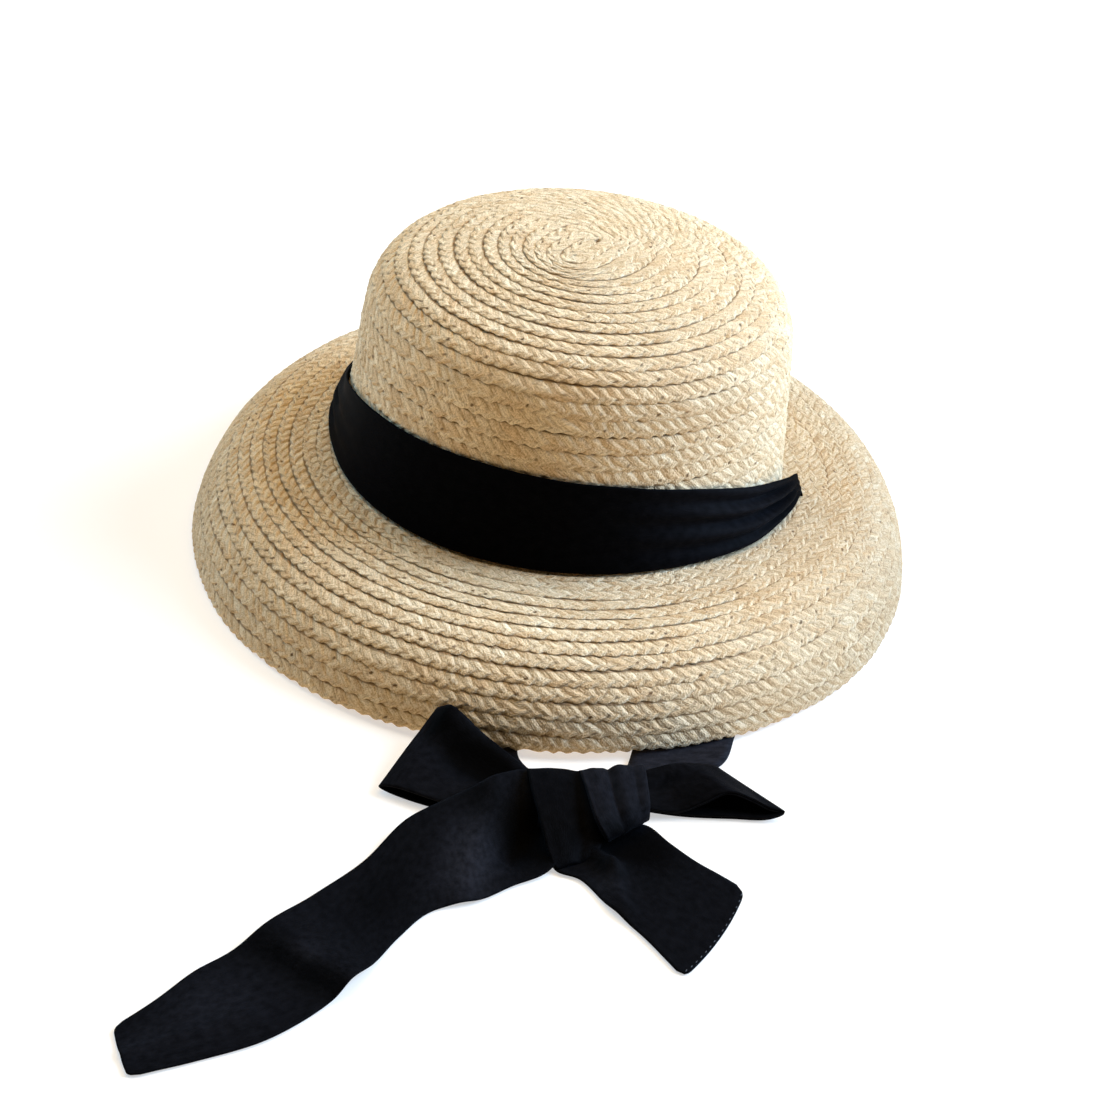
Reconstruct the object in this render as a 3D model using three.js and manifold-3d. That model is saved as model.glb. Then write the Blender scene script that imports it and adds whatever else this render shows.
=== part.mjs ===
// A straw sun hat with a ribbon tie, lying on a table. Millimetres, +Z up.
// The origin is on the crown's axis at the table, and the hat's front faces -Y.
// The crown and the brim are walls of sewn straw braid. A black ribbon crosses the front of the crown,
// goes down through a slit at each side, runs under the brim and ends in a bow in front of the hat.
import * as THREE from "three";
import { mergeVertices } from "three/addons/utils/BufferGeometryUtils.js";
import Module from "manifold-3d";

const wasm = await Module();
wasm.setup();

// Straw walls
const WALL = 2.4;
const ROW_STEP = 0.7; // how far the outer edge of each braid row stands over the next row
const SEGMENTS = 40; // facets round the hat
const INSIDE_STEPS = 2; // half the facets of each bend on the inside of a wall
const GAP = 0.3; // between pieces that touch

// Crown: upright side, round shoulder and slightly domed tip
const HEAD_RADIUS = 93; // outside of the base, mean of the long and the short way
const HEAD_OVAL = 3; // longer than the mean towards front and back, and shorter towards the sides
const SIDE_LENGTH = 64;
const SIDE_TAPER = 5; // degrees from upright
const SHOULDER_RADIUS = 24;
const TIP_SLOPE = 17.5; // degrees below level where the tip meets the shoulder
const CROWN_ROWS = 26;

// Brim: nearly level next to the crown, then curving down to the rim
const BRIM_LEVEL_WIDTH = 32.8;
const BRIM_LEVEL_SLOPE = 1.6; // degrees below level
const BRIM_CURVE_RADIUS = 36;
const RIM_SLOPE = 84; // degrees below level
const BRIM_ROWS = 14;
const BRIM_STRETCH = 9.5; // the rim's outline is longer along one line, and narrower across it
const BRIM_STRETCH_AZIMUTH = 14;
const BRIM_LOBES = 1.2; // three gentle waves of the rim's outline
const BRIM_LOBES_AZIMUTH = 76;
const BRIM_SHIFT = 1.5; // the brim is wider on one side than on the other
const BRIM_SHIFT_AZIMUTH = 60;
const RIM_POWER = 1.5; // how late on the way out the rim's own outline and lift set in
const RIM_LIFT = 3.4; // where the ribbon passes under the rim
const RIM_LIFT_AZIMUTH = 26;
const RIM_LIFT_SPREAD = 60; // degrees to each side

// Slits in the brim beside the crown, where the ribbon goes down
const SLIT_AZIMUTH = 103;
const SLIT_OFF = 6.5; // from the crown's side to the slit's middle
const SLIT_LENGTH = 12;
const SLIT_WIDTH = 7;

// Ribbon
const RIBBON_THICKNESS = 1;
const RIBBON_STRIPS = 3; // facets across a ribbon piece
const TIE_TURN = 18; // the bow lies this many degrees to the right of the hat's front
const GATHER_DEPTH = 0.9; // of the band's lengthwise folds, deepest at the slits
const GATHER_FOLDS = 2;
const GATHER_START = 50; // degrees from the front where the folds begin
const BAND_STEPS = 44; // facets along the band

// The band's half from the front to the slit: azimuth from the front, height of its two edges above the
// crown's base, and how far they stand off the crown. At the slit it turns down through the brim.
const BAND_SECTIONS = [
  { azimuth: 0, low: 1.5, high: 40.5, lowOff: 1.7, highOff: 1.8 },
  { azimuth: 20, low: 1.5, high: 39.5, lowOff: 1.7, highOff: 1.8 },
  { azimuth: 40, low: 1.5, high: 37, lowOff: 1.8, highOff: 1.8 },
  { azimuth: 58, low: 1.5, high: 32, lowOff: 3, highOff: 1.9 },
  { azimuth: 74, low: 1.9, high: 24.5, lowOff: 6, highOff: 2 },
  { azimuth: 86, low: 2.2, high: 18.5, lowOff: 7, highOff: 2.4 },
  { azimuth: 95, low: 2.6, high: 14, lowOff: 8.5, highOff: 3.4 },
  { azimuth: 101, low: 2.4, high: 10, lowOff: 9.2, highOff: 4 },
  { azimuth: 103, low: -5, high: -1, lowOff: 9.4, highOff: 3 },
  { azimuth: 103, low: -13, high: -13, lowOff: 9, highOff: 2.6 },
];

// The strands from the slits to the knot, as their two edges: azimuth from the line to the bow, radius and
// height.
const STRAND_RIGHT = [
  { one: [85.7, 99.3, 19.6], two: [85.8, 92.9, 19.6] },
  { one: [84.5, 100, 12], two: [84.8, 92, 13] },
  { one: [76, 106, 5], two: [78, 90, 6.5] },
  { one: [62, 114, 2.6], two: [64, 90, 3.4] },
  { one: [48, 122, 1.2], two: [46, 98, 1.8] },
  { one: [35, 141, 1], two: [25, 122, 1] },
  { one: [29, 161, 1], two: [15.4, 158, 1] },
  { one: [24.4, 176.5, 1], two: [12.8, 176, 1] },
  { one: [13, 189, 2.2], two: [10, 191, 2.2] },
];
const STRAND_LEFT = [
  { one: [-121.7, 99.3, 19.6], two: [-121.8, 92.9, 19.6] },
  { one: [-120.5, 100, 12], two: [-120.8, 92, 13] },
  { one: [-112, 106, 5], two: [-114, 90, 6.5] },
  { one: [-96, 114, 2.6], two: [-98, 90, 3.4] },
  { one: [-72, 122, 1.6], two: [-72, 97, 2.2] },
  { one: [-46, 132, 1], two: [-44, 106, 1] },
  { one: [-24, 148, 1], two: [-16, 128, 1] },
  { one: [-9.5, 167, 1], two: [-1.5, 153, 1] },
  { one: [-4, 190, 1.2], two: [-0.2, 175, 1.2] },
  { one: [2.5, 200, 2.2], two: [4.5, 192, 2.2] },
];

// The knot, cut across from left to right: where its back and its front stand, and its height.
const KNOT_FLOOR = 0.4;
const KNOT_SECTIONS = [
  { x: 2, back: -191, front: -213, height: 9 },
  { x: 7, back: -184.5, front: -225, height: 13 },
  { x: 15, back: -182, front: -233, height: 15.5 },
  { x: 25, back: -182, front: -231, height: 15 },
  { x: 30.5, back: -183, front: -221, height: 12.5 },
  { x: 38, back: -181.5, front: -216, height: 14 },
  { x: 45, back: -183, front: -210, height: 12 },
  { x: 49, back: -187, front: -204, height: 8 },
];
const KNOT_SIDES = 14;
const KNOT_POWER = 0.6; // below 1, so that its cross-section is squarer than an oval
const KNOT_GAP = 0.5; // between the knot and the ribbon that runs into it

// The loops, as their near and far edges: out along the under layer, round the fold and back on top.
const LOOP_LEFT = [
  { near: [10, -208, 3.4], far: [12, -190, 4.4] },
  { near: [-22, -210.5, 1.2], far: [-13, -174, 5.4] },
  { near: [-42, -205.5, 1.2], far: [-27.5, -169, 10] },
  { near: [-48, -204, 2.8], far: [-32.5, -167.5, 13.6] },
  { near: [-42.5, -206, 4.6], far: [-28, -169, 17] },
  { near: [-20, -211.5, 4.6], far: [-14, -177.5, 12] },
  { near: [10, -207, 5], far: [8, -192, 6] },
];
const LOOP_RIGHT = [
  { near: [40, -198, 4], far: [40, -187, 4] },
  { near: [60, -195.1, 1.4], far: [56, -177, 3] },
  { near: [78, -192.3, 1.2], far: [64, -173.5, 3.4] },
  { near: [91, -190.3, 1.6], far: [69, -172, 4.4] },
  { near: [96, -188.4, 3.6], far: [71.5, -171, 6] },
  { near: [90.5, -189.3, 5.2], far: [69.5, -172, 8] },
  { near: [84, -189.6, 8], far: [65.5, -174, 9.5] },
  { near: [75.5, -190.4, 10.6], far: [60, -176.5, 11] },
  { near: [66, -193.6, 6.4], far: [54, -179.5, 11.5] },
  { near: [58, -196.2, 3.4], far: [49, -182, 11] },
  { near: [40, -200, 6], far: [40, -187, 10] },
];

// The tails, as their two edges, from the knot to the cut end.
const TAIL_LEFT = [
  { near: [21, -224, 5.5], far: [12, -191, 8] },
  { near: [15, -238.5, 2.6], far: [1, -191, 9] },
  { near: [4, -247.5, 1.3], far: [-11, -202, 9.6] },
  { near: [-8, -259, 1.2], far: [-24, -213.5, 8] },
  { near: [-22, -266.8, 1.1], far: [-36, -224, 5] },
  { near: [-31.5, -283, 1.1], far: [-47.5, -245, 1.8] },
  { near: [-38, -301, 3.4], far: [-62, -269, 3] },
  { near: [-43.5, -313.5, 7], far: [-75, -292, 6.5] },
  { near: [-49, -320, 1.7], far: [-83, -300.5, 1.7] },
  { near: [-66, -341, 1.1], far: [-94, -314, 1.1] },
  { near: [-87, -355.5, 1.1], far: [-104, -331, 1.1] },
  { near: [-105, -366.5, 1.1], far: [-114, -345, 1.1] },
];
const TAIL_RIGHT = [
  { near: [13, -226, 1.4], far: [40, -204, 1.4] },
  { near: [17.5, -236.5, 1.2], far: [48, -204, 1.2] },
  { near: [26, -239.5, 1.1], far: [56, -212, 1.1] },
  { near: [36.5, -252.5, 1.1], far: [65.5, -220.5, 1.1] },
  { near: [49, -266, 1.1], far: [74, -226.5, 1.1] },
  { near: [63, -284, 1.1], far: [83, -233.5, 1.1] },
];

const STRAW = new THREE.MeshStandardMaterial({ color: 0xd9bd91, roughness: 0.85, metalness: 0 });
const RIBBON = new THREE.MeshStandardMaterial({ color: 0x0b0c12, roughness: 0.8, metalness: 0 });

const radians = THREE.MathUtils.degToRad;

// A point at an azimuth from the front, a radius and a height.
function polar(azimuth, radius, height) {
  const turn = radians(azimuth);
  return new THREE.Vector3(radius * Math.sin(turn), -radius * Math.cos(turn), height);
}

// Meshes and solids

// The geometry with shared corners merged and collapsed triangles left out.
function weld(geometry) {
  geometry.deleteAttribute("normal");
  geometry.deleteAttribute("uv");
  const merged = mergeVertices(geometry, 1e-3);
  const corners = merged.index.array;
  const kept = [];
  for (let i = 0; i < corners.length; i += 3) {
    const [a, b, c] = [corners[i], corners[i + 1], corners[i + 2]];
    if (a !== b && b !== c && c !== a) kept.push(a, b, c);
  }
  merged.setIndex(kept);
  return merged;
}

function solidFrom(geometry) {
  const welded = weld(geometry);
  return new wasm.Manifold(
    new wasm.Mesh({
      numProp: 3,
      vertProperties: new Float32Array(welded.attributes.position.array),
      triVerts: new Uint32Array(welded.index.array),
    }),
  );
}

function geometryFrom(solid) {
  const mesh = solid.getMesh();
  const geometry = new THREE.BufferGeometry();
  geometry.setAttribute("position", new THREE.BufferAttribute(mesh.vertProperties, 3));
  geometry.setIndex(new THREE.BufferAttribute(mesh.triVerts, 1));
  return geometry;
}

function named(name, geometry, material) {
  geometry.computeVertexNormals();
  const mesh = new THREE.Mesh(geometry, material);
  mesh.name = name;
  return mesh;
}

// Straw walls

// The crown's outside, or a line set in from it, from the tip on the axis down to the base.
function crownMeridian(baseHeight, inset) {
  const taper = radians(SIDE_TAPER);
  const tipSlope = radians(TIP_SLOPE);
  const sideTop = new THREE.Vector2(
    HEAD_RADIUS - SIDE_LENGTH * Math.sin(taper),
    baseHeight + SIDE_LENGTH * Math.cos(taper),
  );
  const shoulder = new THREE.Vector2(
    sideTop.x - SHOULDER_RADIUS * Math.cos(taper),
    sideTop.y - SHOULDER_RADIUS * Math.sin(taper),
  );
  const tipEdge = shoulder.x + SHOULDER_RADIUS * Math.sin(tipSlope);
  const tipRadius = tipEdge / Math.sin(tipSlope);
  const tipCentre = shoulder.y + (SHOULDER_RADIUS - tipRadius) * Math.cos(tipSlope);
  const path = new THREE.Path();
  path.absarc(0, tipCentre, tipRadius - inset, Math.PI / 2, Math.PI / 2 - tipSlope, true);
  path.absarc(shoulder.x, shoulder.y, SHOULDER_RADIUS - inset, Math.PI / 2 - tipSlope, taper, true);
  path.lineTo(HEAD_RADIUS - inset / Math.cos(taper), baseHeight);
  return path;
}

// The brim's upper side, or a line set in from it, from under the crown's wall out to the rim on the table.
function brimMeridian(baseHeight, inset) {
  const levelSlope = radians(BRIM_LEVEL_SLOPE);
  const level = new THREE.Vector2(Math.cos(levelSlope), -Math.sin(levelSlope));
  const normal = new THREE.Vector2(-level.y, level.x);
  const start = new THREE.Vector2(HEAD_RADIUS - WALL, baseHeight).addScaledVector(normal, -inset);
  const bend = start.clone().addScaledVector(level, BRIM_LEVEL_WIDTH);
  const radius = BRIM_CURVE_RADIUS - inset;
  const centre = bend.clone().addScaledVector(normal, -radius);
  const path = new THREE.Path();
  path.moveTo(start.x, start.y);
  path.lineTo(bend.x, bend.y);
  const slopeEnd = Math.PI / 2 - radians(RIM_SLOPE);
  path.absarc(centre.x, centre.y, radius, Math.PI / 2 - levelSlope, slopeEnd, true);
  return path;
}

// The height of the crown's base over the table, which the brim's curve sets.
function baseHeightOfBrim() {
  const levelSlope = radians(BRIM_LEVEL_SLOPE);
  const levelDrop = BRIM_LEVEL_WIDTH * Math.sin(levelSlope);
  const curveDrop = BRIM_CURVE_RADIUS * (Math.cos(levelSlope) - Math.cos(radians(RIM_SLOPE)));
  return levelDrop + curveDrop;
}

// The point at a share of the way along a meridian, moved out along its normal.
function offMeridian(path, share, out) {
  const point = path.getPointAt(share);
  const along = path.getTangentAt(share);
  return new THREE.Vector2(Math.max(point.x - along.y * out, 0), point.y + along.x * out);
}

// The outside of a wall of braid rows: each row rises to its outer edge and steps down to the next.
function rowsAlong(path, rows) {
  const points = [offMeridian(path, 0, 0)];
  for (let row = 1; row <= rows; row += 1) {
    points.push(offMeridian(path, row / rows, ROW_STEP));
    if (row < rows) points.push(offMeridian(path, row / rows, 0));
  }
  return points;
}

// Turns a profile round the hat's axis. The profile runs from the top outwards, down and back inside.
function turned(profile) {
  const lathe = new THREE.LatheGeometry(profile.toReversed(), SEGMENTS);
  lathe.rotateX(Math.PI / 2);
  return lathe;
}

// Moves each corner of a geometry by a function of its place.
function reshape(geometry, place) {
  const corners = geometry.attributes.position;
  const corner = new THREE.Vector3();
  for (let i = 0; i < corners.count; i += 1) {
    place(corner.fromBufferAttribute(corners, i));
    corners.setXYZ(i, corner.x, corner.y, corner.z);
  }
  return geometry;
}

// The head's oval: longer from front to back.
function makeOval(corner) {
  corner.x *= 1 - HEAD_OVAL / HEAD_RADIUS;
  corner.y *= 1 + HEAD_OVAL / HEAD_RADIUS;
}

// The brim's own outline and its lift over the ribbon, growing from nothing at the crown to full at the rim.
function makeBrimOutline(corner) {
  const radius = Math.hypot(corner.x, corner.y);
  const azimuth = Math.atan2(corner.x, -corner.y);
  const reach = BRIM_LEVEL_WIDTH + BRIM_CURVE_RADIUS;
  const share = Math.min(Math.max((radius - HEAD_RADIUS) / reach, 0), 1);
  const stretch = BRIM_STRETCH * Math.cos(2 * (azimuth - radians(BRIM_STRETCH_AZIMUTH)));
  const lobes = BRIM_LOBES * Math.cos(3 * (azimuth - radians(BRIM_LOBES_AZIMUTH)));
  const shift = BRIM_SHIFT * Math.cos(azimuth - radians(BRIM_SHIFT_AZIMUTH));
  const fromLift = Math.abs(azimuth - radians(RIM_LIFT_AZIMUTH)) / radians(RIM_LIFT_SPREAD);
  const lift = fromLift < 1 ? RIM_LIFT * Math.cos((fromLift * Math.PI) / 2) ** 2 : 0;
  const grown = (radius + (stretch + lobes + shift) * share ** RIM_POWER) / radius;
  makeOval(corner);
  corner.set(corner.x * grown, corner.y * grown, corner.z + lift * share ** RIM_POWER);
}

// A tool as long and as wide as the slit, down through the brim at an azimuth.
function slitTool(azimuth, baseHeight) {
  const oval = new THREE.Shape().absellipse(0, 0, SLIT_LENGTH / 2, SLIT_WIDTH / 2, 0, 2 * Math.PI);
  const depth = 4 * WALL;
  const tool = new THREE.ExtrudeGeometry(oval, { depth, bevelEnabled: false, curveSegments: 6 });
  const middle = onCrown(azimuth, 0, SLIT_OFF, baseHeight);
  tool.rotateZ(radians(azimuth - 90));
  return solidFrom(tool.translate(middle.x, middle.y, middle.z - depth / 2));
}

function makeCrown(baseHeight) {
  const outside = rowsAlong(crownMeridian(baseHeight, 0), CROWN_ROWS);
  const inside = crownMeridian(baseHeight, WALL).getPoints(INSIDE_STEPS).reverse();
  outside.at(-1).y = baseHeight + GAP;
  inside[0].y = baseHeight + GAP;
  const wall = weld(reshape(turned([...outside, ...inside]), makeOval));
  return named("crown", wall, STRAW);
}

function makeBrim(baseHeight) {
  const over = rowsAlong(brimMeridian(baseHeight, 0), BRIM_ROWS);
  const under = brimMeridian(baseHeight, WALL).getPoints(INSIDE_STEPS).reverse();
  over.at(-1).y = 0;
  under[0].y = 0;
  const profile = [...over, ...under, over[0].clone()];
  let wall = solidFrom(reshape(turned(profile), makeBrimOutline));
  for (const side of [-1, 1]) {
    wall = wall.subtract(slitTool(side * SLIT_AZIMUTH, baseHeight));
  }
  return named("brim", geometryFrom(wall), STRAW);
}

// Ribbon

// A point on the crown's side, at a height above its base, standing off by a distance.
function onCrown(azimuth, aboveBase, off, baseHeight) {
  const sideRadius = HEAD_RADIUS - aboveBase * Math.tan(radians(SIDE_TAPER));
  const point = polar(azimuth, sideRadius, baseHeight + aboveBase);
  makeOval(point);
  return point.add(polar(azimuth, off, 0));
}

// Smooth edges through the sections, sampled at equal steps from section to section.
function smoothEdge(points, steps) {
  return new THREE.CatmullRomCurve3(points, false, "centripetal").getPoints(steps);
}

// A closed strip of ribbon between two edges, with an even thickness, raised by a function of the place
// along the strip and the share of the way across it.
function ribbonBetween(edgeOne, edgeTwo, across, raise = () => 0) {
  const steps = edgeOne.length - 1;
  const middle = edgeOne.map((one, i) =>
    Array.from({ length: across + 1 }, (_, j) => one.clone().lerp(edgeTwo[i], j / across)),
  );
  const normalAt = (i, j) => {
    const ahead = middle[Math.min(i + 1, steps)][j].clone().sub(middle[Math.max(i - 1, 0)][j]);
    const over = middle[i][Math.min(j + 1, across)].clone().sub(middle[i][Math.max(j - 1, 0)]);
    return ahead.cross(over).normalize();
  };
  const corners = [];
  for (let i = 0; i <= steps; i += 1) {
    const face = (j, side) => {
      const out = (side * RIBBON_THICKNESS) / 2 + raise(middle[i][j], j / across);
      return middle[i][j].clone().addScaledVector(normalAt(i, j), out);
    };
    for (let j = 0; j <= across; j += 1) corners.push(face(j, -1));
    for (let j = across; j >= 0; j -= 1) corners.push(face(j, 1));
  }
  return closedLoft(corners, 2 * (across + 1));
}

// Joins equal rings of corners into one closed skin, with a fan of quads over each end.
function closedLoft(corners, perRing) {
  const rings = corners.length / perRing;
  const index = [];
  const quad = (a, b, c, d) => index.push(a, b, c, a, c, d);
  for (let ring = 0; ring + 1 < rings; ring += 1) {
    for (let k = 0; k < perRing; k += 1) {
      const here = ring * perRing;
      const next = (k + 1) % perRing;
      quad(here + k, here + next, here + perRing + next, here + perRing + k);
    }
  }
  const last = (rings - 1) * perRing;
  for (let k = 0; k + 1 < perRing / 2; k += 1) {
    const across = perRing - 1 - k;
    quad(k, across, across - 1, k + 1);
    quad(last + k, last + k + 1, last + across - 1, last + across);
  }
  const geometry = new THREE.BufferGeometry();
  geometry.setAttribute("position", new THREE.Float32BufferAttribute(corners.flatMap((c) => c.toArray()), 3));
  geometry.setIndex(index);
  return geometry;
}

// The band across the crown's front: its sections from the left slit round to the right one.
function makeBand(baseHeight) {
  const edge = (height, off) => {
    const half = BAND_SECTIONS.map((s) => ({ azimuth: s.azimuth, height: s[height], off: s[off] }));
    const mirrored = half.slice(1).map((s) => ({ ...s, azimuth: -s.azimuth }));
    const whole = [...mirrored.reverse(), ...half];
    return whole.map((s) => onCrown(s.azimuth, s.height, s.off, baseHeight));
  };
  const low = smoothEdge(edge("low", "lowOff"), BAND_STEPS);
  const high = smoothEdge(edge("high", "highOff"), BAND_STEPS);
  const gathers = (point, share) => {
    const azimuth = Math.abs(THREE.MathUtils.radToDeg(Math.atan2(point.x, -point.y)));
    const depth = GATHER_DEPTH * THREE.MathUtils.smoothstep(azimuth, GATHER_START, SLIT_AZIMUTH);
    return depth * Math.cos(2 * Math.PI * GATHER_FOLDS * share);
  };
  return named("hat_band", ribbonBetween(high, low, RIBBON_STRIPS * GATHER_FOLDS, gathers), RIBBON);
}

// The knot as one closed bundle, grown on all sides by a clearance where it trims what runs into it.
function knotGeometry(grow) {
  const corners = [];
  for (const { x, back, front, height } of KNOT_SECTIONS) {
    const end = x === KNOT_SECTIONS[0].x ? -grow : x === KNOT_SECTIONS.at(-1).x ? grow : 0;
    const floor = KNOT_FLOOR - grow;
    for (let side = 0; side < KNOT_SIDES; side += 1) {
      const turn = ((side + 0.5) / KNOT_SIDES) * 2 * Math.PI;
      const rounded = (value) => Math.sign(value) * Math.abs(value) ** KNOT_POWER;
      const y = (back + front) / 2 + ((back - front) / 2 + grow) * rounded(Math.cos(turn));
      const z = floor + ((height + 2 * grow) / 2) * (1 + rounded(Math.sin(turn)));
      corners.push(new THREE.Vector3(x + end, y, z));
    }
  }
  return closedLoft(corners, KNOT_SIDES);
}

// A ribbon piece from its table of two edges, trimmed where it runs into the knot.
function tiePiece(name, sections, point, steps) {
  const [keyOne, keyTwo] = Object.keys(sections[0]);
  const one = smoothEdge(sections.map((s) => point(s[keyOne])), steps);
  const two = smoothEdge(sections.map((s) => point(s[keyTwo])), steps);
  const strip = solidFrom(ribbonBetween(one, two, RIBBON_STRIPS));
  const trimmed = strip.subtract(solidFrom(knotGeometry(KNOT_GAP)));
  return named(name, geometryFrom(trimmed), RIBBON);
}

function makeTie() {
  const fromPolar = ([azimuth, radius, height]) => polar(azimuth, radius, height);
  const fromPlan = (place) => new THREE.Vector3(...place);
  const tie = new THREE.Group();
  tie.rotation.z = radians(TIE_TURN);
  tie.add(
    named("bow_knot", knotGeometry(0), RIBBON),
    tiePiece("tie_strand_left", STRAND_LEFT, fromPolar, 24),
    tiePiece("tie_strand_right", STRAND_RIGHT, fromPolar, 24),
    tiePiece("bow_loop_left", LOOP_LEFT, fromPlan, 22),
    tiePiece("bow_loop_right", LOOP_RIGHT, fromPlan, 22),
    tiePiece("ribbon_tail_left", TAIL_LEFT, fromPlan, 28),
    tiePiece("ribbon_tail_right", TAIL_RIGHT, fromPlan, 12),
  );
  return tie;
}

const baseHeight = baseHeightOfBrim();
const hat = new THREE.Group();
hat.add(makeCrown(baseHeight), makeBrim(baseHeight), makeBand(baseHeight), makeTie());

export default hat;
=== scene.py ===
# A straw sun hat with a black ribbon tie, lying on a pale table.
# The crown and the brim are each sewn from one long plaited braid, laid round and round so that the outer
# edge of every turn lies over the next. The ribbon pieces are thin sheets of cloth.
# Sizes are in millimetres and degrees, and become metres where a mesh is made.
import math

import bpy
import numpy as np
from mathutils import Matrix, Vector


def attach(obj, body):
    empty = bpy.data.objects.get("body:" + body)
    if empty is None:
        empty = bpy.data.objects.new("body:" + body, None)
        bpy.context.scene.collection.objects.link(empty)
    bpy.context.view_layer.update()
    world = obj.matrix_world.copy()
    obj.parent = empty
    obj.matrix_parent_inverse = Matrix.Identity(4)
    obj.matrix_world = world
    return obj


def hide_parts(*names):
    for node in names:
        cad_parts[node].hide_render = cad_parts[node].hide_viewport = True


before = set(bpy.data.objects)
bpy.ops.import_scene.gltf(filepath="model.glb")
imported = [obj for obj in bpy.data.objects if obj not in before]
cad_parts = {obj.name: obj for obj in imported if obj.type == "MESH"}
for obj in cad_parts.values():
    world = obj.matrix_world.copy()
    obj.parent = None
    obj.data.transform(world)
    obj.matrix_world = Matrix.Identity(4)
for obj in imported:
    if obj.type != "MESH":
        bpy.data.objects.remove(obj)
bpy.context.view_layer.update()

MM = 0.001
SEED = 11

# Straw walls
WALL = 2.4
HEAD_RADIUS = 93.0
HEAD_OVAL = 3.0
SIDE_LENGTH = 64.0
SIDE_TAPER = 5.0
SHOULDER_RADIUS = 24.0
TIP_SLOPE = 17.5
TIP_PITCH = 6.1  # between rows of braid
SIDE_PITCH = 6.8
PITCH_CHANGE = (68, 104)  # places on the crown between which the pitch changes
BRIM_LEVEL_WIDTH = 32.8
BRIM_LEVEL_SLOPE = 1.6
BRIM_CURVE_RADIUS = 36.0
RIM_SLOPE = 84.0
BRIM_ROWS = 14
BRIM_START = 150  # azimuth at which each row begins to step out to the next
BRIM_STEP = 60  # and over how many degrees it does
BRIM_STRETCH = 9.5
BRIM_STRETCH_AZIMUTH = 14.0
BRIM_LOBES = 1.2
BRIM_LOBES_AZIMUTH = 76.0
BRIM_SHIFT = 1.5
BRIM_SHIFT_AZIMUTH = 60.0
RIM_POWER = 1.5
RIM_LIFT = 3.4
RIM_LIFT_AZIMUTH = 26.0
RIM_LIFT_SPREAD = 60.0

# Braid: its cross-section and its plait
BRAID_STEP = 0.91  # between cross-sections along the braid
BRAID_HALF = 4.0  # half its width, of which a row's pitch shows
BRAID_TOP = (-4.0, -2.9, -2.2, -1.5, -0.8, -0.1, 0.6, 1.3, 2.0, 2.7, 3.3, 3.7, 3.95)
BRAID_BOTTOM = (3.6, 0.5, -3.5)
BRAID_THICK = 0.55  # from its middle surface up or down
BRAID_LEVEL = -0.4  # its middle against the wall's surface
ROW_CROWN = 0.32  # how much a row's showing part swells
ROW_MIDDLE = 1.2
BRAID_TUCK = 0.5  # how far the inner edge bends down under the turn before
CROWN_TILTS = [(0, 0.05), (60, 0.065), (80, 0.085), (97, 0.03), (165, 0.015)]  # place on the wall, tilt
BRIM_TILTS = [(0, 0.02), (12, 0.03), (24, 0.075), (50, 0.085), (68, 0.05), (82, 0.04)]
CROWN_FLATS = [(40, 1), (90, 0.5), (150, 0.5), (200, 1)]  # azimuth, share of the tilt
BRIM_FLATS = [(35, 1), (65, 0.28), (150, 0.28), (200, 1)]
BRIM_PAINTED_SHADES = [(0, 0.97), (40, 0.95), (80, 0.8)]  # place on the wall, share of the straw's colour: painted shade, darker towards the rim
BRIM_SIDE_PAINTED_SHADES = [(55, 1), (95, 0.8), (150, 0.8), (200, 1)]  # azimuth, share of the straw's colour: painted shade, darker on the right towards the back
SEAM_SHADOW_TILTS = (0.085, 0.04)  # where the painted shadow line between rows shows fully, and where it is faint
SEAM_SHADOW_FAINT = 0.4
PLAIT_PERIOD = 5.6
PLAIT_SLANT = 1.0
PLAIT_MIDDLE = 1.5  # where the strands of the two halves cross, off the braid's middle
PLAIT_DEPTH = 0.38
PLAIT_SKEW = 1.6  # above 1, so that each strand is highest where it ends over the next
PLAIT_ROUND = 0.8
ROUGHNESS = 0.1  # of the fibres, from point to point
SCALLOP = 0.95  # how far the edge draws in between two strands
PIT_DEPTH = 0.45  # of the small gaps where strands cross
PIT_RADIUS = 0.7
PIT_SPREAD = 1.1
SINK = 1.3  # of a turn that tucks under the one before

# The braid's start in the middle of the crown's tip: a short straight stretch
START_HALF = 9.0
START_AZIMUTH = 171.0
START_SPREAD = 27.0
START_SHIFT = (0.0, -6.0)

# Slits in the brim where the ribbon goes down
SLIT_AZIMUTH = 103.0
SLIT_PLACE = 8.2  # from the brim's inner edge
SLIT_SPREAD = 5.2
SLIT_IN = -3.4
SLIT_OUT = 5.4
SLIT_FADE = 16.0  # how far out the rows still bend round it

# Ribbon
CLOTH_THICK = 0.5
LAYER_GAP = 0.45  # from the middle of a ribbon folded in half to each of its layers
CORNER_RADIUS = 4.0
RUMPLE = 0.22
TIE_TURN = 18.0
BAND_SECTIONS = [
    # azimuth, low, high, low off the crown, high off the crown
    (0, 1.5, 40.5, 1.4, 1.6),
    (20, 1.5, 39.5, 1.4, 1.6),
    (40, 1.5, 37, 1.6, 1.6),
    (58, 1.4, 32, 3, 1.7),
    (74, 1.8, 24.5, 6, 1.8),
    (86, 2.2, 18.5, 7, 2.4),
    (95, 2.6, 14, 8.5, 4.8),
    (101, 2.4, 10.5, 9.2, 7),
    (103, -5, -1, 9.4, 5),
    (103, -13, -13, 9, 2.6),
]
BAND_GATHERS = [
    # azimuth, depth of the folds
    (-103, 2.6),
    (-84, 2.8),
    (-74, 1.6),
    (-60, 0.4),
    (-40, 0),
    (30, 0),
    (50, 0.9),
    (66, 1.9),
    (86, 2.6),
    (93, 1.4),
    (98, 0.2),
]
BAND_SLIT_DEPTH = 2.8
BAND_FOLD = 0.31  # from fold to fold, as a share of the width
BAND_FIRST_FOLD = 0.19
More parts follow.
